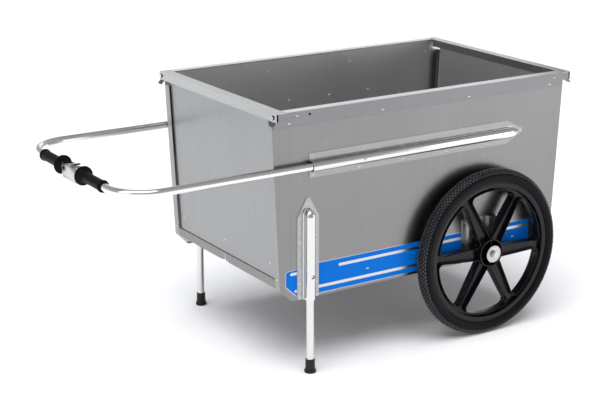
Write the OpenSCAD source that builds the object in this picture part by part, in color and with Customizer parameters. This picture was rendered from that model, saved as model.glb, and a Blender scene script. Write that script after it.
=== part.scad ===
// Folding all-aluminium garden cart: two side walls joined by a floor that folds up along its middle,
// lift-out end panels, a split U-shaped handle, two retracting legs and two quick-release wheels.
// +X runs from the handle to the rear, +Y to the far side, +Z up. The origin is at floor level under
// the middle of the whole cart. "near" is the -Y side and "far" is its mirror image.

/* [Box] */
// Length of the rails along the top of the box
box_length = 1034; // [980:2:1080]
// Width over the outer faces of the two side rails
box_width = 665; // [645:1:700]
// Height of the top rim above the ground
rim_height = 764; // [755:1:775]
// Height of the load floor above the ground
floor_height = 280; // [278:1:283]
// Height of the lower edge of the side walls
wall_bottom = 218; // [214:1:222]
// How far each end leans in for every millimetre down from the rim
end_lean = 0.05; // [0.03:0.005:0.05]
// Thickness of the aluminium sheet
sheet = 1.6; // [1.2:0.1:1.8]

/* [Rails] */
// Distance from a side wall out to the outer face of its rail
rail_stand_off = 27.5; // [27:0.5:30]
// Height of the outer face of every rail
rail_height = 24; // [22:1:26]
// Thickness of the rail section
rail_wall = 2; // [1.6:0.1:2.2]
// Depth of an end rail along the cart
end_rail_depth = 32; // [30:1:36]

/* [Wheels] */
// Outer diameter of the tyre
tyre_diameter = 508; // [500:2:516]
// Width of the tyre
tyre_width = 46; // [42:1:48]
// Distance of the axle behind the middle of the box
axle_x = 213; // [200:1:225]
// Distance from the middle of the cart to the middle of a wheel
wheel_y = 342; // [340:1:348]
// Radius where the tyre meets the rim
rim_radius = 217; // [214:1:220]
// Number of spokes
spokes = 6; // [5:1:7]

/* [Handle and legs] */
// Outer diameter of the handle and leg tubes
tube_diameter = 22.2; // [21.8:0.1:22.4]
// Height of the handle above the ground
handle_height = 600; // [590:1:610]
// Distance from the middle of the box to the handle's cross bar
handle_reach = 954; // [930:1:980]
// Radius of the handle's bend at the tube centre
handle_bend = 108; // [100:1:115]
// Distance of the legs ahead of the middle of the box
leg_x = 399; // [390:1:405]
// Height of the snap button of a leg
snap_height = 287; // [280:1:292]

/* [Hidden] */
$fn = 64;

sheet_colour = "silver";
rail_colour = "gainsboro";
steel_colour = "lightgray";
plastic_colour = "#222222";
decal_colour = "#0070d0";

// Box
half_length = box_length / 2;
half_width = box_width / 2;
wall_y = half_width - rail_stand_off;      // outer face of a side wall
wall_inner_y = wall_y - sheet;
wall_half_top = half_length - 1;           // half length of a side wall at the rim
wall_top = rim_height - rail_wall - 0.6;
rail_band_bottom = rim_height - rail_height;
rail_flange_bottom = rim_height - 49;
flange_width = 24;                         // end flanges of a side wall
flange_inner_y = wall_y - flange_width;
flange_top = rim_height - 36;
wall_corner = 38;                          // cut-off lower corners of a side wall
bottom_lip = 12;
front_reach = handle_reach + 27;           // foremost point, the grip discs
clip_tab = 8;                              // how far a clip's finger stands out ahead and down
rear_reach = half_length + clip_tab;
box_mid_x = (front_reach - rear_reach) / 2; // middle of the box seen from the origin

// Tubes and their channels
tube_r = tube_diameter / 2;
tube_bore_r = tube_r - 1.6;
tube_y = wall_y + 13;                      // centre line of the handle arms and legs
bulge_r = 15;                              // outer radius of a channel's bulge
bulge_inner_r = bulge_r - sheet;
handle_channel_front = -396;
handle_channel_rear = 361;
handle_channel_width = 70;
handle_channel_shoulder = 300;
handle_rivet_pitch = 152.4;
handle_rivet_first = -382;
leg_channel_top = 511;
leg_channel_width = 71;
leg_channel_shoulder = 455;
leg_dome_top = 481;
leg_top = 312;                             // upper end of a leg tube
foot_height = 40;
snap_r = 4.5;
snap_hole_r = 5.5;
handle_tube_rear = 300;
bush_length = 22;

// Wheels
tyre_r = tyre_diameter / 2;
tyre_section_r = tyre_width / 2;
rim_inner_r = 189;
rim_half_width = 16;
hub_ring_r = 42.5;
hub_boss_r = 20;
axle_r = 6.3;
spoke_phase = 2;
hub_inner_y = wheel_y - 25;
hub_ring_y = wheel_y + 21;
hub_outer_y = wheel_y + 29.4;
washer_r = 26;
washer_t = 2.5;
axle_head_r = 11.5;
axle_head_y = hub_outer_y + washer_t + 0.6;
axle_head_t = 6.4;
release_r = 8.5;
release_travel = 2.5;

// Floor and its hinges
hinge_y = wall_inner_y - 5.4;              // side hinges
hinge_z = floor_height + 1.5;
centre_z = floor_height - 24;              // centre hinge
knuckle_r = 4.3;
hinge_pin_r = 2.5;
hinge_bore_r = 2.56;
leaf = 1.2;
floor_half_length = wall_half_top - end_lean * (rim_height - floor_height) - 3.3;
floor_edge_drop = 25.5;
floor_edge_end_y = flange_inner_y - 2;
knuckle_count = 8;
knuckle_gap = 0.5;
hinge_rivet_xs = [-197, -18, 340, 440];

// Latch
saddle_near_end = -53;
saddle_far_end = 43;
saddle_skirt = 26;
saddle_back_skirt = 14;
saddle_gap = tube_r + 1.1;
saddle_t = 1.8;
saddle_pin_y = 35;
saddle_pin_r = 3;
lever_x = -8;                              // lever pivot seen from the cross bar's centre line
lever_z = saddle_gap + saddle_t + 4;
lever_y = -13;
lever_length = 22;
lever_r = 2.6;
lever_pin_r = 1.6;

// Rivets
rivet_head_r = 4.6;
rivet_shank_r = 2.4;
rivet_hole_r = 2.45;
rail_rivet_xs = [-460.5, -152, 152, 460.5];
rail_rivet_z = rim_height - 38;
stud_z = rim_height - 12;
stud_inset = 14.5;                         // studs seen from the outer ends of an end rail
panel_rivet_z = floor_height + 42;
panel_rivet_ys = [-251, 0, 251];
slope_play = 0.2;                          // lets a level rivet sit on a sloping sheet
panel_recess = 6.5;                        // end panels seen from the flanges' outer faces
flange_rivet_z = floor_height + 6;

// Rivets of a side wall, each [x, z, seat of the head, seat of the tail] with the seats seen from y = 0
leaf_seat = wall_inner_y - leaf - 0.05;       // where a rivet's tail sits on the hinge leaf
hinge_rivets = [for (x = hinge_rivet_xs) [x, floor_height - 12, wall_y, leaf_seat]];
side_rivets = concat(
    hinge_rivets,
    [for (x = rail_rivet_xs) [x, rail_rivet_z, wall_y + rail_wall - 0.1, wall_inner_y]],
    [for (s = [-1, 1]) [s * (half_length - 65), stud_z, half_width, half_width - rail_wall]],
    [for (i = [0:4], s = [-1, 1])
        [handle_rivet_first + i * handle_rivet_pitch, handle_height + s * 26.5, wall_y + sheet, wall_inner_y]],
    [[354, handle_height, wall_y + sheet, wall_inner_y]],
    // screw on the crown of the handle channel
    [[handle_rivet_first + handle_rivet_pitch, handle_height, tube_y + bulge_r, tube_y + bulge_inner_r - 0.55]],
    [for (z = [wall_bottom + 8, wall_bottom + 169], s = [-1, 1])
        [-leg_x + s * 27.5, z, wall_y + sheet, wall_inner_y]],
    // these two pass through the hinge leaf as well
    [for (s = [-1, 1]) [-leg_x + s * 27.5, wall_bottom + 46, wall_y + sheet, leaf_seat]],
    [[-leg_x, leg_channel_top - 17, wall_y + sheet, wall_inner_y]],
    [for (s = [-1, 1], z = [tyre_r - 26, tyre_r + 89]) [axle_x + s * 59, z, wall_y + 3, wall_inner_y]]
);

// ------------------------------------------------------------------ helpers

module in_place() {
    translate([box_mid_x, 0, 0]) children();
}

module far() {
    mirror([0, 1, 0]) children();
}

module rear() {
    mirror([1, 0, 0]) children();
}

// Extrudes an outline drawn in X and Z along Y, from y0 to y1
module slab_y(y0, y1) {
    translate([0, y1, 0]) rotate([90, 0, 0]) linear_extrude(y1 - y0) children();
}

// Cylinder along Y from y0 to y1
module rod_y(r, y0, y1) {
    translate([0, y1, 0]) rotate([90, 0, 0]) cylinder(h = y1 - y0, r = r);
}

// Cylinder along X from x0 to x1
module rod_x(r, x0, x1) {
    translate([x0, 0, 0]) rotate([0, 90, 0]) cylinder(h = x1 - x0, r = r);
}

module block(low, high) {
    translate(low) cube(high - low);
}

// Distance of the end faces from the middle of the box at height z
function end_x(z) = wall_half_top - end_lean * (rim_height - z);

function arc(centre, r, from, to, steps) =
    [for (i = [0:steps]) let (a = from + (to - from) * i / steps) centre + r * [cos(a), sin(a)]];

// Blind rivet along +Z: its domed head sits on z = 0 and it clamps a stack of the given thickness
module rivet(grip) {
    rotate_extrude($fn = 24)
        polygon([
            [0, -grip - 1.3], [2.4, -grip - 1.1], [3.6, -grip], [rivet_shank_r, -grip],
            [rivet_shank_r, 0], [rivet_head_r, 0], [4.1, 0.8], [2.9, 1.4], [1.2, 1.7], [0, 1.75]
        ]);
}

// Rivet through the near wall from outside, at one of the places in side_rivets
module wall_rivet(place) {
    translate([place[0], -place[2], place[1]]) rotate([90, 0, 0]) rivet(place[2] - place[3]);
}

// Holes of the side wall's rivets, cut from a piece on the near side
module rivet_holes() {
    difference() {
        children();
        for (place = side_rivets)
            translate([place[0], 0, place[1]]) rod_y(rivet_hole_r, -place[2] - 0.5, -place[3] + 0.5);
    }
}

// ------------------------------------------------------------------ side walls

module wall_outline() {
    polygon([
        [-end_x(wall_bottom + wall_corner), wall_bottom + wall_corner],
        [-end_x(wall_bottom) + wall_corner - 2, wall_bottom],
        [end_x(wall_bottom) - wall_corner + 2, wall_bottom],
        [end_x(wall_bottom + wall_corner), wall_bottom + wall_corner],
        [end_x(rail_band_bottom - 3), rail_band_bottom - 3],
        [half_length - 6, rail_band_bottom - 3],
        [half_length - 6, wall_top],
        [-half_length + 6, wall_top],
        [-half_length + 6, rail_band_bottom - 3],
        [-end_x(rail_band_bottom - 3), rail_band_bottom - 3]
    ]);
}

module end_flange() {
    low = wall_bottom + wall_corner;
    slab_y(-wall_y, -flange_inner_y)
        polygon([
            [-end_x(low), low], [-end_x(low) + sheet, low],
            [-end_x(flange_top) + sheet, flange_top], [-end_x(flange_top), flange_top]
        ]);
}

module side_wall() {
    color(sheet_colour)
    difference() {
        union() {
            slab_y(-wall_y, -wall_inner_y) wall_outline();
            end_flange();
            rear() end_flange();
            lip_x = end_x(wall_bottom) - wall_corner + 2;
            block([-lip_x, -wall_y, wall_bottom], [lip_x, -wall_y + bottom_lip, wall_bottom + sheet]);
        }
        translate([axle_x, 0, tyre_r]) rod_y(axle_r + 0.7, -wall_y - 1, -wall_inner_y + 1);
        translate([0, -wall_y + flange_width / 2, flange_rivet_z]) rod_x(rivet_hole_r, -half_length, half_length);
    }
}

// Folded section: top leg, outer band, return to the wall and a flange riveted down the wall
module rail_section() {
    top_inner = wall_inner_y - 0.4;
    flange_y = wall_y + 0.1;
    polygon([
        [-top_inner, rim_height], [-half_width, rim_height], [-half_width, rail_band_bottom],
        [-flange_y - rail_wall + 0.2, rail_band_bottom], [-flange_y - rail_wall + 0.2, rail_flange_bottom],
        [-flange_y, rail_flange_bottom], [-flange_y, rail_band_bottom + rail_wall],
        [-half_width + rail_wall, rail_band_bottom + rail_wall],
        [-half_width + rail_wall, rim_height - rail_wall], [-top_inner, rim_height - rail_wall]
    ]);
}

module top_rail() {
    band_end = half_length - 7;
    cap_end = half_length - end_rail_depth - 1;
    flange_end = end_x(rail_flange_bottom) - 3;
    hole_x = -half_length + 106;
    color(rail_colour)
    difference() {
        translate([-band_end, 0, 0]) rotate([90, 0, 90]) linear_extrude(2 * band_end) rail_section();
        for (s = [-1, 1]) {
            // room for the end rail's top plate
            block([s * cap_end - (s < 0 ? 60 : 0), -half_width - 1, rim_height - rail_wall - 0.3],
                  [s * cap_end + (s > 0 ? 60 : 0), -wall_inner_y + 2, rim_height + 1]);
            block([s * flange_end - (s < 0 ? 60 : 0), -wall_y - rail_wall - 0.5, rail_flange_bottom - 1],
                  [s * flange_end + (s > 0 ? 60 : 0), -wall_y + 1, rail_band_bottom - 0.01]);
        }
        translate([hole_x, 0, stud_z]) rod_y(3.5, -half_width - 1, -half_width + rail_wall + 1);
    }
}

module wall_rivets() {
    color(rail_colour) {
        for (place = side_rivets)
            wall_rivet(place);
        for (s = [-1, 1])
            translate([s * (end_x(flange_rivet_z) + slope_play), -wall_y + flange_width / 2, flange_rivet_z])
                rotate([0, s * 90, 0]) rivet(sheet + 2 * slope_play);
    }
}

// Outline of a channel's bulge seen square on: straight, then closing to a blunt point
function arch(half, start, end) =
    concat([[-half, -1], [half, -1], [half, start]],
           [for (a = [15:15:75]) [half * cos(a), start + (end - start) * sin(a)]],
           [[0, end]],
           [for (a = [75:-15:15]) [-half * cos(a), start + (end - start) * sin(a)]],
           [[-half, start]]);

// Outline of the bulge seen from its side: out to reach, then down to the plate
function ramp(reach, start, end) =
    concat([[1, -1], [-reach, -1], [-reach, start]],
           [for (a = [15:15:75]) [-reach * cos(a), start + (end - start) * sin(a)]],
           [[0, end], [1, end]]);

module bulge_solid(r, start, end) {
    intersection() {
        union() {
            translate([0, -tube_y + wall_y, -1]) cylinder(h = end + 2, r = r);
            block([-r, -tube_y + wall_y, -1], [r, 0, end + 1]);
        }
        translate([0, 1, 0]) rotate([90, 0, 0]) linear_extrude(60) polygon(arch(r, start, end));
        rotate([90, 0, 90]) translate([0, 0, -40]) linear_extrude(80)
            polygon(ramp(tube_y - wall_y + r, start, end));
    }
}

// Riveted channel that holds a tube against the wall. It runs up from z = 0 to a pointed end, with the
// wall's outer face at y = 0.
module tube_channel(length, width, shoulder, dome_start, dome_end) {
    tip_r = 9;
    plate = concat([[-width / 2, 0], [width / 2, 0], [width / 2, shoulder]],
                   arc([0, length - tip_r], tip_r, 50, 130, 4), [[-width / 2, shoulder]]);
    difference() {
        union() {
            rotate([90, 0, 0]) linear_extrude(sheet) polygon(plate);
            difference() {
                bulge_solid(bulge_r, dome_start, dome_end);
                block([-50, -60, -2], [50, 5, 0]);
                block([-50, 0, -2], [50, 5, length + 2]);
            }
        }
        bulge_solid(bulge_inner_r, dome_start, dome_end - 5);
    }
}

module handle_channel() {
    length = handle_channel_rear - handle_channel_front;
    color(sheet_colour)
    translate([handle_channel_front, -wall_y, handle_height]) rotate([0, 90, 0])
        tube_channel(length, handle_channel_width, handle_channel_shoulder - handle_channel_front,
                     length - 62, length - 22);
}

module leg_channel() {
    color(sheet_colour)
    difference() {
        translate([-leg_x, -wall_y, wall_bottom])
            tube_channel(leg_channel_top - wall_bottom, leg_channel_width,
                         leg_channel_shoulder - wall_bottom, leg_dome_top - wall_bottom - 26,
                         leg_dome_top - wall_bottom);
        translate([-leg_x, 0, snap_height]) rod_y(snap_hole_r, -tube_y - bulge_r - 2, -tube_y);
    }
}

// Plastic sleeves between the tubes and their channels
module bush(bore) {
    difference() {
        intersection() {
            cylinder(h = bush_length, r = bulge_inner_r - 0.1);
            translate([-20, -20, -1]) cube([40, 20 + tube_y - wall_y - 0.1, bush_length + 2]);
        }
        translate([0, 0, -1]) cylinder(h = bush_length + 2, r = bore);
    }
}

module guide_bushes() {
    bore = tube_r + 0.06;
    color(plastic_colour) {
        for (x = [handle_channel_front + 3, handle_tube_rear - bush_length - 4])
            translate([x, -tube_y, handle_height]) rotate([0, 90, 0]) bush(bore);
        translate([-leg_x, -tube_y, wall_bottom + 3]) bush(bore);
    }
}

// Pressed hat plate with a welded socket for the axle pin
module axle_bracket() {
    half = 70;
    low = tyre_r - 34;
    high = tyre_r + 98;
    color(steel_colour)
    difference() {
        union() {
            block([axle_x - half, -wall_y - 3, low], [axle_x + half, -wall_y - 0.05, high]);
            for (s = [-1, 1])
                block([axle_x + s * 38 - 13, -wall_y - 11, low], [axle_x + s * 38 + 13, -wall_y - 2, high]);
            translate([axle_x, 0, tyre_r]) {
                rod_y(18, -hub_inner_y + 1, -wall_y - 2);
                rod_y(14, -wall_inner_y + 0.1, -wall_y + 48);
            }
        }
        for (s = [-1, 1])
            block([axle_x + s * 38 - 10.5, -wall_y - 8.5, low - 1], [axle_x + s * 38 + 10.5, -wall_y + 1, high + 1]);
        translate([axle_x, 0, tyre_r]) rod_y(axle_r + 0.05, -hub_inner_y, -wall_y + 60);
    }
}

module axle_pin() {
    color(steel_colour)
    translate([axle_x, 0, tyre_r])
    difference() {
        union() {
            rod_y(axle_r, -axle_head_y - 1, -wall_y + 44);
            rod_y(axle_head_r, -axle_head_y - axle_head_t, -axle_head_y);
        }
        rod_y(release_r + 0.3, -axle_head_y - axle_head_t - 1, -axle_head_y - 2);
    }
}

module decal() {
    low = wall_bottom + 7;
    high = floor_height + 36;
    film = 0.4;
    color(decal_colour)
    difference() {
        slab_y(-wall_y - film, -wall_y)
            polygon([
                [-472, wall_bottom + 44], [-432, low], [405, low], [405, high], [-368, high], [-472, high - 8]
            ]);
        block([-leg_x - leg_channel_width / 2 - 0.5, -wall_y - 1, low - 1],
              [-leg_x + leg_channel_width / 2 + 0.5, -wall_y + 1, high + 1]);
        block([axle_x - 71, -wall_y - 1, low - 1], [axle_x + 71, -wall_y + 1, high + 1]);
        for (place = hinge_rivets)
            translate([place[0], 0, place[1]]) rod_y(rivet_head_r + 0.1, -wall_y - 1, -wall_y + 1);
    }
}

// ------------------------------------------------------------------ legs

module leg_tube() {
    color(steel_colour)
    translate([-leg_x, -tube_y, 0])
    difference() {
        translate([0, 0, 8]) cylinder(h = leg_top - 8, r = tube_r);
        translate([0, 0, 7]) cylinder(h = leg_top, r = tube_bore_r);
        translate([0, 0, snap_height]) rod_y(snap_r + 0.1, -20, 0);
    }
}

module leg_foot() {
    color(plastic_colour)
    translate([-leg_x, -tube_y, 0])
    rotate_extrude()
        polygon([
            [0, 0], [16, 0], [17, 1], [17, 6], [14.6, 11], [13.8, 18], [13.6, foot_height - 1.5],
            [12.8, foot_height], [tube_r, foot_height], [tube_r, 8], [0, 8]
        ]);
}

module leg_button() {
    reach = tube_r + 1.9;
    color(steel_colour)
    translate([-leg_x, -tube_y, snap_height])
    rotate([90, 0, 0])
    rotate_extrude($fn = 32)
        polygon([[0, 4.2], [6.4, 4.2], [6.4, 6], [snap_r, 6], [snap_r, reach - 1.6], [3.4, reach - 0.5],
                 [1.8, reach - 0.1], [0, reach]]);
}

// ------------------------------------------------------------------ wheels

module spoke() {
    root_half = 21;
    tip_half = 13;
    rotate([0, -spoke_phase, 0])
    slab_y(-wheel_y - 15, -wheel_y + 15)
        polygon([[30, -root_half], [rim_inner_r + 4, -tip_half], [rim_inner_r + 4, tip_half], [30, root_half]]);
}

module wheel_rim() {
    color(plastic_colour)
    translate([axle_x, 0, tyre_r])
    difference() {
        union() {
            difference() {
                rod_y(rim_radius, -wheel_y - rim_half_width, -wheel_y + rim_half_width);
                rod_y(rim_inner_r, -wheel_y - rim_half_width - 1, -wheel_y + rim_half_width + 1);
            }
            for (i = [0:spokes - 1])
                rotate([0, i * 360 / spokes, 0]) spoke();
            rod_y(hub_ring_r, -hub_ring_y, -wheel_y + 17);
            rod_y(hub_boss_r, -hub_outer_y, -hub_inner_y);
        }
        difference() {
            rod_y(hub_ring_r - 4, -hub_ring_y - 1, -hub_ring_y + 22);
            rod_y(hub_boss_r, -hub_outer_y - 2, -hub_inner_y);
        }
        rod_y(9, -hub_outer_y - 1, -hub_inner_y + 1);
    }
}

module tyre() {
    color(plastic_colour)
    translate([axle_x, -wheel_y, tyre_r])
    rotate([90, 0, 0])
    rotate_extrude($fn = 128)
    difference() {
        translate([tyre_r - tyre_section_r, 0]) circle(r = tyre_section_r);
        translate([tyre_r - tyre_section_r - 2, 0]) circle(r = tyre_section_r - 5);
        translate([0, -50]) square([rim_radius, 100]);
    }
}

module hub_bushes() {
    color("white")
    translate([axle_x, 0, tyre_r])
    difference() {
        for (y = [-hub_outer_y, -hub_inner_y - 14])
            rod_y(9, y, y + 14);
        rod_y(axle_r + 0.07, -hub_outer_y - 1, -hub_inner_y + 1);
    }
}

module hub_washer() {
    color(rail_colour)
    translate([axle_x, 0, tyre_r])
    difference() {
        rod_y(washer_r, -hub_outer_y - washer_t, -hub_outer_y);
        rod_y(axle_r + 0.3, -hub_outer_y - washer_t - 1, -hub_outer_y + 1);
    }
}

module hub_button() {
    low = axle_head_y + 2 + release_travel + 0.3;
    color(steel_colour)
    translate([axle_x, 0, tyre_r])
        rod_y(release_r, -axle_head_y - axle_head_t - release_travel, -low);
}

// ------------------------------------------------------------------ handle

// Path of one handle half filled to radius r; extra lengthens its straight ends
module handle_path(r, extra) {
    bend_x = -handle_reach + handle_bend;
    bend_y = -tube_y + handle_bend;
    tip_y = -2;
    translate([0, 0, handle_height]) {
        translate([0, -tube_y, 0]) rod_x(r, bend_x, handle_tube_rear + extra);
        translate([bend_x, bend_y, 0]) rotate([0, 0, 180])
            rotate_extrude(angle = 90, $fn = 96) translate([handle_bend, 0]) circle(r = r);
        translate([-handle_reach, 0, 0]) rod_y(r, bend_y, tip_y + extra);
    }
}

module handle_half() {
    color(rail_colour)
    difference() {
        handle_path(tube_r, 0);
        handle_path(tube_bore_r, 1);
    }
}

module far_handle_half() {
    difference() {
        far() handle_half();
        translate([-handle_reach, saddle_pin_y, handle_height]) rod_x(saddle_pin_r, -20, 20);
    }
}

// Rubber grip with a bead at its outer end and a hand-stop disc at its inner end
module grip() {
    bead_end = 191;
    disc_end = 64;
    color(plastic_colour)
    translate([-handle_reach, 0, handle_height])
    rotate([90, 0, 0])
    rotate_extrude()
        polygon(concat(
            [[tube_r, disc_end], [16, disc_end], [26, disc_end + 1], [27, disc_end + 3], [26, disc_end + 6],
             [18, disc_end + 8], [15, disc_end + 13], [15, bead_end - 10]],
            arc([13.2, bead_end - 4.4], 4.2, -50, 80, 6),
            [[tube_r, bead_end]]));
}

// Folded cover over the joint of the two handle halves, hinged on the far half
module latch_saddle() {
    top = saddle_gap + saddle_t;
    color(steel_colour)
    translate([-handle_reach, 0, handle_height])
    difference() {
        union() {
            block([-top, saddle_near_end, -saddle_skirt], [-saddle_gap, saddle_far_end, top]);
            block([saddle_gap, saddle_near_end, -saddle_back_skirt], [top, saddle_far_end, top]);
            block([-top, saddle_near_end, saddle_gap], [top, saddle_pin_y - 16, top]);
            // ears of the release lever
            for (y = [lever_y - 5.5, lever_y + 4])
                block([lever_x - 3.4, y, top - 0.5], [lever_x + 3.4, y + 1.5, lever_z + 3]);
        }
        translate([0, saddle_pin_y, 0]) rod_x(saddle_pin_r + 0.06, -30, 30);
        translate([lever_x, 0, lever_z]) rod_y(lever_pin_r + 0.06, lever_y - 9, lever_y + 9);
        // slot the lever sinks into
        block([lever_x + 5, lever_y - 3.6, saddle_gap - 4], [20, lever_y + 3.6, top + 1]);
        // clipped lower corners of the front skirt
        for (y = [saddle_near_end, saddle_far_end])
            translate([-top - 1, y, -saddle_skirt]) rotate([45, 0, 0])
                translate([0, -4.5, -4.5]) cube([8, 9, 9]);
    }
}

module saddle_pin() {
    head = saddle_gap + saddle_t;
    color(plastic_colour)
    translate([-handle_reach, saddle_pin_y, handle_height]) {
        rod_x(saddle_pin_r, -head - 1, head + 1);
        rod_x(4.6, -head - 2.2, -head - 0.3);
        rod_x(4.6, head + 0.3, head + 2.2);
    }
}

module latch_lever() {
    color(plastic_colour)
    translate([lever_x - handle_reach, lever_y, lever_z + handle_height]) {
        rod_y(lever_pin_r, -5.4, 5.4);
        rod_x(lever_r, 0, lever_length);
        sphere(r = lever_r);
        translate([lever_length, 0, 0]) sphere(r = lever_r);
    }
}

// ------------------------------------------------------------------ floor

module floor_panel() {
    x = floor_half_length;
    low = floor_height - floor_edge_drop;
    color(sheet_colour) {
        block([-x, -hinge_y + 6, floor_height - sheet], [x, -0.7, floor_height]);
        block([-x + 2, -0.7 - sheet, centre_z + 5], [x - 2, -0.7, floor_height]);
        for (s = [-1, 1])
            translate([s * x - (s > 0 ? sheet : 0), 0, 0])
            rotate([90, 0, 90]) linear_extrude(sheet)
                polygon([[-floor_edge_end_y, low], [-24, low], [-0.7 - 1.5, centre_z + 1.5],
                         [-0.7 - 1.5, floor_height], [-floor_edge_end_y, floor_height]]);
    }
}

// Knuckles number first, first + 2, ... of a hinge line through the origin along X
module knuckles(first) {
    x = floor_half_length - 8;
    pitch = 2 * x / knuckle_count;
    for (i = [first:2:knuckle_count - 1])
        rod_x(knuckle_r, -x + i * pitch + knuckle_gap / 2, -x + (i + 1) * pitch - knuckle_gap / 2);
}

// Slots that let the other leaf's knuckles into this leaf
module knuckle_gaps(first, y0, y1, z0, z1) {
    x = floor_half_length - 8;
    pitch = 2 * x / knuckle_count;
    for (i = [first:2:knuckle_count - 1])
        block([-x + i * pitch - knuckle_gap, y0, z0], [-x + (i + 1) * pitch + knuckle_gap, y1, z1]);
}

module hinge_wall_leaf() {
    x = floor_half_length - 8;
    face = wall_inner_y - 0.02;
    color(steel_colour)
    difference() {
        union() {
            translate([0, -hinge_y, hinge_z]) knuckles(0);
            block([-x, -face, hinge_z - 25], [x, -face + leaf, hinge_z]);
        }
        knuckle_gaps(1, -face - 1, -hinge_y + 6, hinge_z - knuckle_r - 0.8, hinge_z + 9);
        translate([0, -hinge_y, hinge_z]) rod_x(hinge_bore_r, -600, 600);
        translate([axle_x, 0, tyre_r]) rod_y(15, -wall_y - 1, 0);
    }
}

module hinge_floor_leaf() {
    x = floor_half_length - 8;
    top = floor_height - sheet - 0.02;
    color(steel_colour)
    difference() {
        union() {
            translate([0, -hinge_y, hinge_z]) knuckles(1);
            block([-x, -hinge_y, top - leaf], [x, -hinge_y + 26, top]);
        }
        knuckle_gaps(0, -hinge_y - 6, -hinge_y + knuckle_r + 0.8, top - 4, hinge_z + 9);
        translate([0, -hinge_y, hinge_z]) rod_x(hinge_bore_r, -600, 600);
    }
}

module hinge_pin() {
    x = floor_half_length - 8;
    color(steel_colour) translate([0, -hinge_y, hinge_z]) rod_x(hinge_pin_r, -x, x);
}

// Leaf of the centre hinge, on the near half: first is 0 or 1, the knuckles it carries
module centre_leaf(first) {
    x = floor_half_length - 8;
    face = 0.7 + sheet + 0.02;
    color(steel_colour)
    difference() {
        union() {
            translate([0, 0, centre_z]) knuckles(first);
            block([-x, -face - leaf, centre_z], [x, -face, floor_height - sheet - 2.5]);
        }
        knuckle_gaps(1 - first, -face - leaf - 1, knuckle_r + 1, centre_z - knuckle_r - 1,
                     centre_z + knuckle_r + 0.8);
        translate([0, 0, centre_z]) rod_x(hinge_bore_r, -600, 600);
    }
}

module centre_hinge_pin() {
    x = floor_half_length - 3;
    color(steel_colour) translate([0, 0, centre_z]) rod_x(hinge_pin_r, -x, x);
}

// ------------------------------------------------------------------ end panels

module end_panel() {
    low = floor_height + 0.4;
    bend_z = rail_band_bottom;
    top = rim_height - rail_wall;
    y = flange_inner_y - 2;
    lip = 15;
    side_lip = 8;
    low_x = panel_recess - end_x(low);
    top_x = panel_recess - end_x(bend_z);
    color(sheet_colour)
    difference() {
        union() {
            slab_y(-y, y)
                polygon([[low_x, low], [low_x + sheet, low], [top_x + sheet, bend_z], [top_x + sheet, top],
                         [top_x, top], [top_x, bend_z]]);
            block([low_x, -y, low], [low_x + lip, y, low + sheet]);
            for (s = [-1, 1])
                translate([0, s > 0 ? y - sheet : -y, 0])
                slab_y(0, sheet)
                    polygon([[low_x, low], [low_x + side_lip, low], [top_x + side_lip, bend_z - 4],
                             [top_x, bend_z - 4]]);
        }
        for (hole_y = panel_rivet_ys)
            translate([0, hole_y, panel_rivet_z]) rod_x(rivet_hole_r, -half_length, low_x + lip);
    }
}

// Upside-down channel over the panel's top edge, overhanging both side walls
module end_rail() {
    x = half_length;
    inner_half = wall_inner_y - 4;
    color(rail_colour)
    difference() {
        union() {
            block([-x, -half_width, rim_height - rail_wall], [-x + end_rail_depth, half_width, rim_height]);
            block([-x, -half_width, rail_band_bottom], [-x + rail_wall, half_width, rim_height]);
            block([-x + end_rail_depth - rail_wall, -inner_half, rail_band_bottom + 1],
                  [-x + end_rail_depth, inner_half, rim_height]);
        }
        for (s = [-1, 1])
            translate([0, s * (half_width - stud_inset), stud_z]) rod_x(rivet_hole_r, -x - 1, -x + rail_wall + 1);
    }
}

// Domed stud along +Z that holds a spring clip to the end rail
module stud(grip) {
    rotate_extrude($fn = 32)
        polygon([
            [0, -grip - 1.3], [2.4, -grip - 1.1], [3.6, -grip], [rivet_shank_r, -grip],
            [rivet_shank_r, 0], [6.5, 0], [6.1, 1.6], [4.9, 2.9], [2.7, 3.8], [0, 4.1]
        ]);
}

module end_rivets() {
    color(rail_colour) {
        for (y = panel_rivet_ys)
            translate([panel_recess - end_x(panel_rivet_z) - slope_play, y, panel_rivet_z])
                rotate([0, -90, 0]) rivet(sheet + 2 * slope_play);
        for (s = [-1, 1])
            translate([-half_length, s * (half_width - stud_inset), stud_z]) rotate([0, -90, 0]) stud(rail_wall);
    }
}

// Pair of spring clips behind the ends of an end rail, each with a finger bent out at 45 degrees
module end_clips() {
    back = half_length - rail_wall - 0.2;
    low = rail_band_bottom - 1.2;
    tip = half_length + clip_tab;
    drop = tip - back;
    width = 24;
    color("dimgray")
    for (s = [-1, 1])
        translate([0, s * (half_width - stud_inset), 0])
        difference() {
            slab_y(-width / 2, width / 2)
                polygon([[-back, rim_height - 5.5], [-back, low], [-tip, low - drop], [-tip + 0.9, low - drop - 0.9],
                         [-back + 1.2, low - 0.6], [-back + 1.2, rim_height - 5.5]]);
            translate([-back, 0, stud_z]) rod_x(4.4, -2, 4);
        }
}

// ------------------------------------------------------------------ assembly

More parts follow.
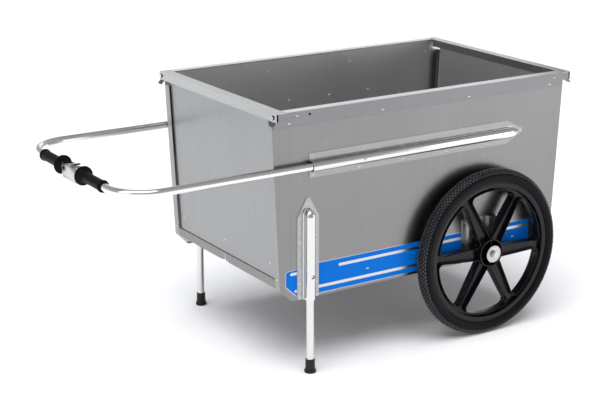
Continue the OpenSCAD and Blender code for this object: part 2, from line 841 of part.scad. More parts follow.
in_place() rivet_holes() side_wall();  // near_side_wall
in_place() rivet_holes() top_rail();  // near_top_rail
in_place() wall_rivets();  // near_wall_rivets
in_place() rivet_holes() handle_channel();  // near_handle_channel
in_place() rivet_holes() leg_channel();  // near_leg_channel
in_place() rivet_holes() axle_bracket();  // near_axle_bracket
in_place() axle_pin();  // near_axle_pin
in_place() decal();  // near_decal
in_place() guide_bushes();  // near_guide_bushes
in_place() rivet_holes() hinge_wall_leaf();  // near_hinge_wall_leaf
in_place() hinge_pin();  // near_hinge_pin
in_place() leg_tube();  // near_leg_tube
in_place() leg_foot();  // near_leg_foot
in_place() leg_button();  // near_leg_button
in_place() wheel_rim();  // near_wheel_rim
in_place() tyre();  // near_tyre
in_place() hub_bushes();  // near_hub_bushes
in_place() hub_washer();  // near_hub_washer
in_place() hub_button();  // near_hub_button
in_place() handle_half();  // near_handle_tube
in_place() grip();  // near_grip
in_place() floor_panel();  // near_floor_panel
in_place() hinge_floor_leaf();  // near_hinge_floor_leaf
in_place() centre_leaf(0);  // near_centre_leaf
in_place() centre_hinge_pin();

in_place() far() rivet_holes() side_wall();  // far_side_wall
in_place() far() rivet_holes() top_rail();  // far_top_rail
in_place() far() wall_rivets();  // far_wall_rivets
in_place() far() rivet_holes() handle_channel();  // far_handle_channel
in_place() far() rivet_holes() leg_channel();  // far_leg_channel
in_place() far() rivet_holes() axle_bracket();  // far_axle_bracket
in_place() far() axle_pin();  // far_axle_pin
in_place() far() decal();  // far_decal
in_place() far() guide_bushes();  // far_guide_bushes
in_place() far() rivet_holes() hinge_wall_leaf();  // far_hinge_wall_leaf
in_place() far() hinge_pin();  // far_hinge_pin
in_place() far() leg_tube();  // far_leg_tube
in_place() far() leg_foot();  // far_leg_foot
in_place() far() leg_button();  // far_leg_button
in_place() far() wheel_rim();  // far_wheel_rim
in_place() far() tyre();  // far_tyre
in_place() far() hub_bushes();  // far_hub_bushes
in_place() far() hub_washer();  // far_hub_washer
in_place() far() hub_button();  // far_hub_button
in_place() far_handle_half();  // far_handle_tube
in_place() far() grip();  // far_grip
in_place() far() floor_panel();  // far_floor_panel
in_place() far() hinge_floor_leaf();  // far_hinge_floor_leaf
in_place() far() centre_leaf(1);  // far_centre_leaf

in_place() latch_saddle();
in_place() saddle_pin();
in_place() latch_lever();

in_place() end_panel();  // front_panel
in_place() end_rail();  // front_end_rail
in_place() end_rivets();  // front_rivets
in_place() end_clips();  // front_clips
in_place() rear() end_panel();  // rear_panel
in_place() rear() end_rail();  // rear_end_rail
in_place() rear() end_rivets();  // rear_rivets
in_place() rear() end_clips();  // rear_clips
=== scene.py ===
import bmesh
import bpy
import math
import random
from mathutils import Matrix, Vector
from mathutils.geometry import tessellate_polygon


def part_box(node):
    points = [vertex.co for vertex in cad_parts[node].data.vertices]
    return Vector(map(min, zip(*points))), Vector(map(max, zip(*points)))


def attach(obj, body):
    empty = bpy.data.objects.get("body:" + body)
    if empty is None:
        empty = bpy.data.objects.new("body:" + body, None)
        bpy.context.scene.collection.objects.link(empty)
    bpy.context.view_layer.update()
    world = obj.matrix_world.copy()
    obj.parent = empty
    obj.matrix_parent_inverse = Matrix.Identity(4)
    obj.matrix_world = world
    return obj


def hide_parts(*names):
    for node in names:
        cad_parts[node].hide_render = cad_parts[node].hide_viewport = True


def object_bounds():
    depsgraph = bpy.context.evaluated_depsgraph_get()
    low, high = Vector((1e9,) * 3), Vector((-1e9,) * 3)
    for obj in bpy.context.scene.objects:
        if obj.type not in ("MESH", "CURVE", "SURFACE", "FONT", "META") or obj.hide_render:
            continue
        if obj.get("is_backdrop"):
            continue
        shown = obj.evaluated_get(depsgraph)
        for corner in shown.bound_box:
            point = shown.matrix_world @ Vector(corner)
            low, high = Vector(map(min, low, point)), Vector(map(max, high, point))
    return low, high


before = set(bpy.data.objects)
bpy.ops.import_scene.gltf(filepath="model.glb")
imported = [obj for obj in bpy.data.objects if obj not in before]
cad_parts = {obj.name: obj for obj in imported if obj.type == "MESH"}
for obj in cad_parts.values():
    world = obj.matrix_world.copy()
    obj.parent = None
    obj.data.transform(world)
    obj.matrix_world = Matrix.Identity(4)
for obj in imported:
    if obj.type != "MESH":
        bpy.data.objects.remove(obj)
cad_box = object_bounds()
MM = 0.001
SIDES = ("near", "far")
ENDS = ("front", "rear")


# ---------------------------------------------------------------- material builder


def set_input(node, name, value):
    """Sets a shader input by name, whatever its type."""
    node.inputs[name].default_value = value


class Mat:
    """A small builder for procedural materials."""

    def __init__(self, name):
        self.mat = bpy.data.materials.new(name)
        self.mat.use_nodes = True
        self.nodes = self.mat.node_tree.nodes
        self.links = self.mat.node_tree.links
        self.bsdf = self.nodes["Principled BSDF"]
        self.coord = self.nodes.new("ShaderNodeTexCoord").outputs["Object"]

    def link(self, a, b):
        self.links.new(a, b)

    def mapped(self, scale):
        node = self.nodes.new("ShaderNodeMapping")
        set_input(node, "Scale", scale)
        self.link(self.coord, node.inputs["Vector"])
        return node.outputs["Vector"]

    def noise(self, scale, size=1.0, detail=4.0, rough=0.55):
        node = self.nodes.new("ShaderNodeTexNoise")
        set_input(node, "Scale", size)
        set_input(node, "Detail", detail)
        set_input(node, "Roughness", rough)
        self.link(self.mapped(scale), node.inputs["Vector"])
        return node.outputs["Fac"]

    def ramp(self, fac, stops):
        node = self.nodes.new("ShaderNodeValToRGB")
        ramp = node.color_ramp
        while len(ramp.elements) < len(stops):
            ramp.elements.new(0.5)
        for element, (pos, value) in zip(ramp.elements, stops):
            element.position = pos
            element.color = (*value, 1) if isinstance(value, tuple) else (value, value, value, 1)
        self.link(fac, node.inputs["Fac"])
        return node.outputs["Color"]

    def math(self, op, a, b):
        node = self.nodes.new("ShaderNodeMath")
        node.operation = op
        for i, value in enumerate((a, b)):
            if isinstance(value, (int, float)):
                node.inputs[i].default_value = value
            else:
                self.link(value, node.inputs[i])
        return node.outputs[0]

    def swing(self, pattern, amount):
        """The pattern's departure from its middle value, times amount."""
        return self.math("MULTIPLY", self.math("SUBTRACT", pattern, 0.5), amount)

    def mix(self, fac, a, b, blend="MIX"):
        node = self.nodes.new("ShaderNodeMix")
        node.data_type = "RGBA"
        node.blend_type = blend
        for socket, value in ((node.inputs[0], fac), (node.inputs[6], a), (node.inputs[7], b)):
            if isinstance(value, (int, float)):
                socket.default_value = value if socket.type == "VALUE" else (value, value, value, 1)
            elif isinstance(value, tuple):
                socket.default_value = (*value, 1)
            else:
                self.link(value, socket)
        return node.outputs[2]

    def bump(self, height, distance, under=None):
        node = self.nodes.new("ShaderNodeBump")
        set_input(node, "Distance", distance)
        set_input(node, "Strength", 1.0)
        self.link(height, node.inputs["Height"])
        if under is not None:
            self.link(under, node.inputs["Normal"])
        return node.outputs["Normal"]


def metal(name, color, rough, grain, axis="x", spread=0.06, scuffs=0.5, bump=0.00001, wave=0.0,
          dents=0.0):
    """Brushed metal.

    grain is the contrast of the streaks along axis, spread how much the roughness varies, scuffs the
    share of that in small rubbed patches. bump, wave and dents are heights in metres: of the brushing,
    of the sheet's slow waviness and of small dimples.
    """
    m = Mat(name)
    fine, long = 900.0, 6.0
    scales = {"x": (long, fine, fine), "y": (fine, long, fine), "z": (fine, fine, long)}
    streak = m.noise(scales[axis], 1.0, 3.0)
    coarse = m.noise(tuple(s * 0.12 for s in scales[axis]), 1.0, 3.0)
    cloud = m.noise((1, 1, 1), 4.5, 5.0)
    blotch = m.noise((1, 1, 1), 22.0, 4.0, 0.6)
    tone = m.math("ADD", m.math("MULTIPLY", streak, 0.45), m.math("MULTIPLY", coarse, 0.55))
    low = tuple(c * (1 - grain) for c in color)
    high = tuple(min(1.0, c * (1 + grain)) for c in color)
    base = m.ramp(tone, [(0.32, low), (0.68, high)])
    worn = m.mix(1.0, base, 0.86, "MULTIPLY")
    base = m.mix(m.ramp(cloud, [(0.3, 0.0), (0.75, spread * 4)]), base, worn)
    m.link(base, m.bsdf.inputs["Base Color"])
    set_input(m.bsdf, "Metallic", 1.0)
    roughness = rough
    for pattern, share in ((cloud, spread * 2), (blotch, spread * scuffs * 2), (streak, spread)):
        roughness = m.math("ADD", m.swing(pattern, share), roughness)
    m.link(m.math("MAXIMUM", roughness, 0.05), m.bsdf.inputs["Roughness"])
    normal = m.bump(tone, bump)
    if wave:
        sway = m.noise((1.0, 1.0, 1.0), 2.2, 1.0)
        normal = m.bump(sway, wave, normal)
    if dents:
        dimple = m.noise((1.0, 1.0, 1.0), 42.0, 1.0)
        normal = m.bump(dimple, dents, normal)
    m.link(normal, m.bsdf.inputs["Normal"])
    return m.mat


def plastic(name, color, rough, size, depth, dust=0.2, gloss=0.2):
    """Moulded plastic or rubber: a grain of this size and depth (m), with a little dust in it."""
    m = Mat(name)
    grain = m.noise((1, 1, 1), size, 5.0, 0.65)
    cloud = m.noise((1, 1, 1), 14.0, 4.0)
    light = tuple(c * 1.9 + 0.004 for c in color)
    base = m.mix(m.ramp(cloud, [(0.35, 0.0), (0.8, dust)]), color, light)
    m.link(base, m.bsdf.inputs["Base Color"])
    m.link(m.math("ADD", m.swing(cloud, 0.18), rough), m.bsdf.inputs["Roughness"])
    set_input(m.bsdf, "Specular IOR Level", gloss)
    m.link(m.bump(grain, depth), m.bsdf.inputs["Normal"])
    return m.mat


# ---------------------------------------------------------------- materials

# Painted light and shade: walls, floors and end panels are one aluminium sheet. Its outer faces get a
# dark tone (sheet, and panel sheet on faces that look along x) and its inner faces a much lighter one.
# The dark tone stands in for the darker surroundings they reflect, the light one for the light inside the
# box.
SHEET_PAINTED_SHADE = metal("sheet", (0.262, 0.260, 0.255), rough=0.30, grain=0.05, axis="z", spread=0.06, scuffs=0.7,
              bump=0.000006, wave=0.0040)
PANEL_PAINTED_SHADE = metal("panel sheet", (0.345, 0.348, 0.350), rough=0.33, grain=0.035, axis="z", spread=0.05,
              scuffs=0.5, bump=0.000006, wave=0.002)
# Painted light and shade: one extruded rail, with its top and inner faces given a light tone and its
# outward band a dark one.
RAIL_PAINTED_LIGHT = metal("rail", (0.65, 0.65, 0.655), rough=0.24, grain=0.06, spread=0.05, scuffs=0.4)
RAIL_BAND_PAINTED_SHADE = metal("rail band", (0.24, 0.24, 0.248), rough=0.24, grain=0.06, spread=0.05, scuffs=0.4)
END_RAIL = metal("end rail", (0.48, 0.49, 0.49), rough=0.26, grain=0.07, axis="y", spread=0.05,
                 scuffs=0.4)
FLANGE = metal("channel flange", (0.34, 0.34, 0.34), rough=0.20, grain=0.05, spread=0.08, scuffs=1.0,
               dents=0.0007)
# Painted highlight: the raised crown of each pressed channel gets a far lighter tone than its flange,
# though both are one sheet.
CROWN_PAINTED_LIGHT = metal("channel crown", (0.80, 0.80, 0.79), rough=0.15, grain=0.05, spread=0.06, scuffs=0.8)
LEG_FLANGE = metal("leg channel flange", (0.40, 0.405, 0.41), rough=0.15, grain=0.05, axis="z",
                   spread=0.08, scuffs=1.0, dents=0.0012)
# Painted highlight: the leg channel's crown, lighter than its flange in the same way.
LEG_CROWN_PAINTED_LIGHT = metal("leg channel crown", (0.76, 0.755, 0.74), rough=0.13, grain=0.05, axis="z",
                  spread=0.06, scuffs=0.8, dents=0.0003)
TUBE = metal("tube", (0.90, 0.90, 0.90), rough=0.13, grain=0.03, spread=0.02, scuffs=0.6, bump=0.000006)
LEG_TUBE = metal("leg tube", (0.74, 0.735, 0.72), rough=0.18, grain=0.04, axis="z", spread=0.03,
                 scuffs=0.6, bump=0.000006)
RIVET = metal("rivet", (0.74, 0.74, 0.73), rough=0.24, grain=0.06, spread=0.06, scuffs=1.0)
STEEL = metal("plated steel", (0.62, 0.62, 0.61), rough=0.22, grain=0.06, spread=0.06, scuffs=1.0)
ZINC = metal("zinc plate", (0.60, 0.595, 0.58), rough=0.34, grain=0.08, axis="y", spread=0.10,
             scuffs=1.2, bump=0.00002)
SPRING = metal("spring steel", (0.26, 0.26, 0.265), rough=0.36, grain=0.10, axis="z", spread=0.06,
               scuffs=1.0, bump=0.00002)
RIM = plastic("rim plastic", (0.0022, 0.0024, 0.0034), rough=0.25, size=900.0, depth=0.00003,
              gloss=0.30)
TYRE = plastic("tyre rubber", (0.0022, 0.0024, 0.0036), rough=0.46, size=600.0, depth=0.00006,
               gloss=0.11)
# Painted light: the tread blocks are the tyre's rubber made many times lighter, for the light they catch.
# The dust patches on them vary at random.
TREAD_PAINTED_LIGHT = plastic("tread rubber", (0.030, 0.0305, 0.033), rough=0.26, size=700.0, depth=0.00004, dust=0.4,
                gloss=0.60)
GRIP = plastic("grip rubber", (0.0030, 0.0030, 0.0040), rough=0.40, size=500.0, depth=0.00006,
               gloss=0.10)
FOOT = plastic("foot rubber", (0.0045, 0.0045, 0.0045), rough=0.34, size=500.0, depth=0.00004,
               gloss=0.35)
BLACK = plastic("black plastic", (0.0050, 0.0050, 0.0055), rough=0.32, size=700.0, depth=0.00003,
                gloss=0.4)
# Painted light: the inner faces of the same sheet, made far lighter than its outer faces.
SHEET_IN_PAINTED_LIGHT = metal("inner sheet", (0.80, 0.80, 0.805), rough=0.34, grain=0.03, axis="z", spread=0.05,
                 scuffs=0.5, bump=0.000008, wave=0.0016)
SADDLE = metal("saddle steel", (0.62, 0.61, 0.59), rough=0.24, grain=0.08, axis="y", spread=0.08,
               scuffs=1.2, dents=0.0005)
WASHER = metal("washer steel", (0.58, 0.58, 0.56), rough=0.24, grain=0.05, spread=0.05, scuffs=0.6)
SILVER_PRINT = metal("silver print", (0.66, 0.65, 0.63), rough=0.32, grain=0.05, spread=0.05,
                     scuffs=0.6, bump=0.000006)
NYLON = plastic("nylon", (0.62, 0.61, 0.57), rough=0.45, size=700.0, depth=0.00002, dust=0.25)


def film(name):
    """Printed blue film laid over the brushed sheet."""
    m = Mat(name)
    cloud = m.noise((1, 1, 1), 7.0, 4.0)
    streak = m.noise((8, 700, 700), 1.0, 3.0)
    base = m.mix(m.ramp(cloud, [(0.3, 0.0), (0.8, 0.35)]), (0.0, 0.158, 0.650), (0.0, 0.142, 0.58))
    m.link(base, m.bsdf.inputs["Base Color"])
    m.link(m.math("ADD", m.math("MULTIPLY", cloud, 0.1), 0.26), m.bsdf.inputs["Roughness"])
    set_input(m.bsdf, "Specular IOR Level", 0.08)
    m.link(m.bump(streak, 0.00001), m.bsdf.inputs["Normal"])
    return m.mat


DECAL = film("blue film")

NODE_MATERIALS = {
    "side_wall": SHEET_PAINTED_SHADE, "top_rail": RAIL_PAINTED_LIGHT, "wall_rivets": RIVET, "handle_channel": FLANGE,
    "leg_channel": LEG_FLANGE, "axle_bracket": ZINC, "axle_pin": STEEL, "decal": DECAL,
    "guide_bushes": BLACK, "hinge_wall_leaf": ZINC, "hinge_pin": STEEL, "leg_tube": LEG_TUBE,
    "leg_foot": FOOT, "leg_button": STEEL, "wheel_rim": RIM, "tyre": TYRE, "hub_bushes": NYLON,
    "hub_washer": ZINC, "hub_button": STEEL, "handle_tube": TUBE, "grip": GRIP, "floor_panel": SHEET_PAINTED_SHADE,
    "hinge_floor_leaf": ZINC, "centre_leaf": ZINC,
}
SINGLE_MATERIALS = {
    "centre_hinge_pin": STEEL, "latch_saddle": ZINC, "saddle_pin": BLACK, "latch_lever": BLACK,
    "front_panel": PANEL_PAINTED_SHADE, "rear_panel": PANEL_PAINTED_SHADE, "front_end_rail": END_RAIL, "rear_end_rail": END_RAIL,
    "front_rivets": RIVET, "rear_rivets": RIVET, "front_clips": SPRING, "rear_clips": SPRING,
}


def paint(obj, material):
    """Makes this the only material of the object."""
    obj.data.materials.clear()
    obj.data.materials.append(material)


for side in SIDES:
    for name, material in NODE_MATERIALS.items():
        paint(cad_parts[f"{side}_{name}"], material)
for name, material in SINGLE_MATERIALS.items():
    paint(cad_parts[name], material)


def smooth_by_angle(obj, degrees):
    """Smooth shading with every edge sharper than this kept crisp."""
    mesh = obj.data
    for polygon in mesh.polygons:
        polygon.use_smooth = True
    mesh.set_sharp_from_angle(angle=math.radians(degrees))


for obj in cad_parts.values():
    smooth_by_angle(obj, 25)


# ---------------------------------------------------------------- places taken from the CAD nodes, in mm


def mm_box(node):
    """Lowest and highest corner of a CAD node's box, in mm."""
    low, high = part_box(node)
    return Vector(low) / MM, Vector(high) / MM


RAIL_LOW = mm_box("near_top_rail")[0]
WALL_LOW = mm_box("near_side_wall")[0]
TYRE_LOW, TYRE_HIGH = mm_box("near_tyre")
WALL = -WALL_LOW.y                 # outer face of the side wall, from the middle
AXLE_X = (TYRE_LOW.x + TYRE_HIGH.x) / 2
AXLE_Z = (TYRE_LOW.z + TYRE_HIGH.z) / 2
TYRE_R = (TYRE_HIGH.x - TYRE_LOW.x) / 2
WHEEL_Y = -(TYRE_LOW.y + TYRE_HIGH.y) / 2


# ---------------------------------------------------------------- mesh helpers

FLAT_AREA = 0.00004                 # square metres; a larger face of a sheet is one of its flats
JOINED = 1e-6                       # metres; points this close are one point


def on_wheel(x, y, w):
    """Wheel frame of the near wheel: x to the rear, y up, w outward from its middle plane."""
    return (AXLE_X + x, -(WHEEL_Y + w), AXLE_Z + y)


def circle(radius, steps):
    """Points round a circle, as pairs."""
    angles = [2 * math.pi * i / steps for i in range(steps)]
    return [(radius * math.cos(a), radius * math.sin(a)) for a in angles]


def build_mesh(name, verts, faces, side="near", recalc=True):
    """Mesh from points in mm on the near side; the far side gets its mirror image.

    With recalc the faces are turned outward; without it they keep the order they were given in.
    """
    flip = -1 if side == "far" else 1
    mesh = bpy.data.meshes.new(name)
    mesh.from_pydata([(x * MM, flip * y * MM, z * MM) for x, y, z in verts], [], faces)
    bm = bmesh.new()
    bm.from_mesh(mesh)
    if recalc:
        bmesh.ops.recalc_face_normals(bm, faces=bm.faces)
    elif flip < 0:
        bmesh.ops.reverse_faces(bm, faces=bm.faces)
    bm.to_mesh(mesh)
    bm.free()
    return mesh


def weld(mesh, distance, recalc=False):
    """Joins points of the mesh that are closer than distance metres."""
    bm = bmesh.new()
    bm.from_mesh(mesh)
    bmesh.ops.remove_doubles(bm, verts=bm.verts, dist=distance)
    if recalc:
        bmesh.ops.recalc_face_normals(bm, faces=bm.faces)
    bm.to_mesh(mesh)
    bm.free()


def add_piece(name, mesh, body, slot, materials, nodes=(), sharp=32):
    """Puts a piece on its body; nodes are the CAD nodes it replaces, sharp the crease angle."""
    obj = bpy.data.objects.new(name, mesh)
    bpy.context.scene.collection.objects.link(obj)
    for material in materials if isinstance(materials, (list, tuple)) else [materials]:
        mesh.materials.append(material)
    smooth_by_angle(obj, sharp)
    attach(obj, body)
    if nodes:
        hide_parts(*nodes)
    return obj


def keep_flats(obj):
    """Large faces of pressed sheet are shaded flat; only their eased edges are smooth."""
    for polygon in obj.data.polygons:
        polygon.use_smooth = polygon.area < FLAT_AREA


def applied(mesh, *modifiers):
    """The mesh with modifiers applied; each is a (type, {setting: value}) pair."""
    obj = bpy.data.objects.new("scratch", mesh)
    bpy.context.scene.collection.objects.link(obj)
    for kind, settings in modifiers:
        modifier = obj.modifiers.new(kind, kind)
        for key, value in settings.items():
            setattr(modifier, key, value)
    graph = bpy.context.evaluated_depsgraph_get()
    result = bpy.data.meshes.new_from_object(obj.evaluated_get(graph))
    bpy.data.objects.remove(obj)
    return result


def assign_faces(mesh, test, index=1):
    """Gives another material to every face that passes the test on its centre (mm) and normal."""
    for polygon in mesh.polygons:
        if test(polygon.center / MM, polygon.normal):
            polygon.material_index = index


class Shell:
    """Collects closed shells given as points and faces."""

    def __init__(self):
        self.verts = []
        self.faces = []

    def add(self, verts, faces):
        start = len(self.verts)
        self.verts += verts
        self.faces += [tuple(start + i for i in face) for face in faces]

    def loop_of_rings(self, rings, close=True):
        """Joins rings of equal length one after another, and the last to the first if close."""
        count = len(rings[0])
        verts = [p for ring in rings for p in ring]
        faces = []
        for i in range(len(rings) if close else len(rings) - 1):
            a, b = i * count, (i + 1) % len(rings) * count
            faces += [(a + j, a + (j + 1) % count, b + (j + 1) % count, b + j) for j in range(count)]
        self.add(verts, faces)

    def lathe(self, profile, place, steps):
        """Closed profile of (radius, w) turned round an axis; place gives each point its position."""
        turns = circle(1.0, steps)
        self.loop_of_rings([[place(r * x, r * y, w) for r, w in profile] for x, y in turns])

    def block(self, corners):
        """Eight corners: the four of one end, then the four of the other."""
        ends = [(0, 1, 2, 3), (7, 6, 5, 4)]
        sides = [(0, 4, 5, 1), (1, 5, 6, 2), (2, 6, 7, 3), (3, 7, 4, 0)]
        self.add(corners, ends + sides)


def rounded(corners, radius, steps=5):
    """Convex closed outline with its corners rounded; radius is one value or one for each corner."""
    out = []
    count = len(corners)
    radii = radius if isinstance(radius, (list, tuple)) else [radius] * count
    for i, corner in enumerate(corners):
        here = Vector(corner)
        before = (Vector(corners[i - 1]) - here).normalized()
        after = (Vector(corners[(i + 1) % count]) - here).normalized()
        half = before.angle(after) / 2
        if radii[i] <= 0:
            out.append(tuple(here))
            continue
        reach = radii[i] / math.tan(half)
        centre = here + (before + after).normalized() * (radii[i] / math.sin(half))
        start, end = here + before * reach - centre, here + after * reach - centre
        for k in range(steps + 1):
            mixed = (start.lerp(end, k / steps)).normalized() * radii[i]
            out.append(tuple(centre + mixed))
    return out


# ---------------------------------------------------------------- wheels

SPOKES = 6
SPOKE_AT = -2.0                     # degrees from the x axis to the first spoke
SPOKE_FOOT = (42, 20)               # where the spoke leaves the hub: radius, half its width
SPOKE_HEAD = (188, 12.5)            # where it meets the rim
RIB = 3.0                           # thickness of the ribs round the windows
RIB_W = 15.0                        # half their width across the wheel
WEB_W = 3.0                         # half the thickness of the web plate
WEB_INNER_R = 41
WEB_OUTER_R = 201
BOSS_R = 19.0                       # the webs of the hub run from here
HUB_R = 39.6                        # to here


def window_outline(mid, grow, steps=9):
    """Rounded triangle between two spokes, centred on angle mid and grown outward by grow."""
    half = math.radians(30)
    u = Vector((math.cos(half), math.sin(half)))
    n = Vector((-math.sin(half), math.cos(half)))
    inner = u * SPOKE_FOOT[0] - n * SPOKE_FOOT[1]
    outer = u * SPOKE_HEAD[0] - n * SPOKE_HEAD[1]
    along = (outer - inner).normalized()
    slope = math.atan2(along.y, along.x)
    inward = Vector((math.sin(slope), -math.cos(slope)))
    apex_r, corner_r, arc_r = 5.0, 14.0, 190.0
    tip_x = inner.x - inner.y / math.tan(slope) + apex_r / math.sin(slope)
    start = inner + inward * corner_r
    b = start.dot(along)
    s = -b + math.sqrt(b * b - start.length_squared + (arc_r - corner_r) ** 2)
    centre = start + along * s
    points = []
    steep = math.pi / 2 + slope
    # from the tip's middle up to the straight side
    for k in range(steps + 1):
        a = math.pi - (math.pi - steep) * k / steps
        r = apex_r + grow
        points.append((tip_x + r * math.cos(a), r * math.sin(a)))
    # round the outer corner
    out_angle = math.atan2(centre.y, centre.x)
    for k in range(steps + 1):
        a = steep + (out_angle - steep) * k / steps
        r = corner_r + grow
        points.append((centre.x + r * math.cos(a), centre.y + r * math.sin(a)))
    # along the rim to the middle, then the same mirrored
    for k in range(1, steps + 1):
        a = out_angle * (1 - k / steps)
        r = arc_r + grow
        points.append((r * math.cos(a), r * math.sin(a)))
    points += [(x, -y) for x, y in reversed(points[1:-1])]
    turn = Matrix.Rotation(math.radians(mid), 2)
    return [tuple(turn @ Vector(p)) for p in points]


def ring_web(shell, inner_r, outer_r, angle, half, low, high):
    """Thin radial web between two rings, 2 * half thick and from low to high across the wheel."""
    u = Vector((math.cos(angle), math.sin(angle)))
    n = Vector((-u.y, u.x))
    corners = []
    for r in (inner_r, outer_r):
        for side, w in ((-half, low), (half, low), (half * 0.7, high), (-half * 0.7, high)):
            p = u * r + n * side
            corners.append(on_wheel(p.x, p.y, w))
    shell.block(corners)


def rim_mesh(side):
    """Spoked plastic rim: lip rings, ribbed windows in a thin web plate, hub ring and boss."""
    shell = Shell()
    # lip rings, dished towards the tyre
    lip = [(199.6, -12.8), (200.8, -15.2), (203.0, -16.0), (211.5, -16.0), (212.4, -15.2), (215.6, -15.0),
           (216.9, -13.6), (216.9, 13.6), (215.6, 15.0), (212.4, 15.2), (211.5, 16.0), (203.0, 16.0),
           (200.8, 15.2), (199.6, 12.8), (199.0, 3.0), (199.0, -3.0)]
    shell.lathe(lip, on_wheel, 180)
    mids = [SPOKE_AT + 30 + 60 * k for k in range(SPOKES)]
    profile = [(0.0, 13.4), (0.35, 14.4), (1.1, RIB_W), (1.9, RIB_W), (2.7, 14.4), (RIB, 13.4)]
    profile += [(g, -w) for g, w in reversed(profile)]
    for mid in mids:
        outlines = [(window_outline(mid, g), w) for g, w in profile]
        shell.loop_of_rings([[on_wheel(x, y, w) for x, y in outline] for outline, w in outlines])
        angle = math.radians(mid)
        ring_web(shell, 192.0, 200.5, angle, 1.5, -13.0, 12.6)
    # web plate with its windows
    loops = [circle(WEB_OUTER_R, 120), circle(WEB_INNER_R, 48)]
    loops += [window_outline(mid, 1.4) for mid in mids]
    flat = [p for loop in loops for p in loop]
    triangles = tessellate_polygon([[Vector((x, y, 0)) for x, y in loop] for loop in loops])
    for w in (WEB_W, -WEB_W):
        faces = [tuple(reversed(t)) if w < 0 else tuple(t) for t in triangles]
        shell.add([on_wheel(x, y, w) for x, y in flat], faces)
    # hub ring, boss and the thin webs between them
    shell.lathe([(38.6, -16.6), (39.0, -17.0), (42.1, -17.0), (42.5, -16.6), (42.5, 20.2), (41.8, 21.0),
                 (39.4, 21.0), (38.6, 20.2)], on_wheel, 72)
    shell.lathe([(9.1, -25.0), (19.4, -25.0), (20.0, -24.4), (20.0, 28.6), (19.2, 29.4), (9.1, 29.4)],
                on_wheel, 64)
    shell.lathe([(BOSS_R, -13.0), (HUB_R, -13.0), (HUB_R, -9.5), (BOSS_R, -9.5)], on_wheel, 64)
    for k in range(SPOKES):
        ring_web(shell, BOSS_R, HUB_R, math.radians(SPOKE_AT + 60 * k + 30), 1.3, -12.0, 16.5)
    return build_mesh(f"{side}_rim", shell.verts, shell.faces, side, recalc=False)


def tyre_mesh(side, seed):
    """Tyre with moulded rings on its sidewalls and a tread of small blocks."""
    shell = Shell()
    centre_r = TYRE_R - 23.0        # circle through the middles of the round section
    skin = 21.3                     # radius of the section under the tread
    bead_r = 217.2                  # the tyre's inner edge, on the rim
    half_tread = 62.0               # degrees of the section, to each side
    rings = [(-118, 22.0), (-112, 21.6), (-100, 21.9), (-94, 22.4), (-91, 21.8), (-84, 21.7), (-76, 22.4),
             (-73, 21.7), (-66, skin)]
    profile = rings + [(a, skin) for a in range(-58, 59, 8)] + [(-a, r) for a, r in reversed(rings)]
    section = []
    for degrees, r in profile:
        a = math.radians(degrees)
        section.append((max(centre_r + r * math.cos(a), bead_r), r * math.sin(a)))
    section += [(bead_r, section[-1][1] - 3.0), (bead_r, section[0][1] + 3.0)]
    shell.lathe(section, on_wheel, 192)
    carcass_faces = len(shell.faces)
    # tread blocks, staggered row by row
    rng = random.Random(seed)
    rows, around = 8, 128
    band = 2 * half_tread / rows
    step = 2 * math.pi / around
    for row in range(rows):
        mid = -half_tread + band * (row + 0.5)
        edge = row in (0, rows - 1)
        half = math.radians(band * (0.40 if edge else 0.33))
        tall = 1.3 if edge else 1.68
        for i in range(around):
            at = (i + 0.5 * (row % 2)) * step
            span = step * (0.34 if edge else 0.29) * rng.uniform(0.96, 1.04)
            lean = step * 0.12 * (-1 if row % 2 else 1)
            corners = []
            for r, cut in ((skin - 0.2, 1.0), (skin + tall, 0.86)):
                for da, db in ((-1, -1), (1, -1), (1, 1), (-1, 1)):
                    phi = math.radians(mid) + da * half * cut
                    theta = at + db * span * cut + da * lean
                    reach = centre_r + r * math.cos(phi)
                    x, y = reach * math.cos(theta), reach * math.sin(theta)
                    corners.append(on_wheel(x, y, r * math.sin(phi)))
            shell.block(corners)
    mesh = build_mesh(f"{side}_tyre", shell.verts, shell.faces, side)
    # Painted light: the tread blocks take the lighter tread rubber.
    for polygon in mesh.polygons:
        polygon.material_index = 0 if polygon.index < carcass_faces else 1
    return mesh


def washer_mesh(side):
    """Stamped washer with ring grooves, in the place of the plain CAD one."""
    low, high = mm_box("near_hub_washer")
    face = -low.y - WHEEL_Y
    back = -high.y - WHEEL_Y
    r = (high.x - low.x) / 2
    bore = 6.7
    profile = [(bore, back), (r - 0.5, back), (r, back + 0.5), (r, face - 0.9), (r - 0.8, face - 0.1)]
    profile += [(r - 2.6, face), (r - 3.0, face - 0.8), (r - 4.4, face - 0.8), (r - 4.8, face)]
    profile += [(r - 10.2, face), (r - 10.5, face - 1.0), (r - 12.6, face - 1.0), (r - 12.9, face)]
    profile += [(bore, face)]
    shell = Shell()
    shell.lathe(profile, on_wheel, 96)
    return build_mesh(f"{side}_washer", shell.verts, shell.faces, side)


TREAD_SEEDS = {"near": 7, "far": 8}

for side in SIDES:
    wheel = f"{side}_wheel"
    add_piece(f"{side}_moulded_rim", rim_mesh(side), wheel, "rim_plastic", RIM,
              [f"{side}_wheel_rim"], sharp=28)
    add_piece(f"{side}_treaded_tyre", tyre_mesh(side, TREAD_SEEDS[side]), wheel, "tyre", [TYRE, TREAD_PAINTED_LIGHT],
              [f"{side}_tyre"], sharp=30)
    add_piece(f"{side}_ringed_washer", washer_mesh(side), wheel, "washer", WASHER,
              [f"{side}_hub_washer"], sharp=25)


# ---------------------------------------------------------------- channels

TIP_ANGLE = math.radians(50)        # where the flange's straight taper meets its round tip
CROWN_HALF = 16.5                   # half the width of the raised crown, with its fillets
FLANGE_TOP = 1.7                    # just above the flange's thickness


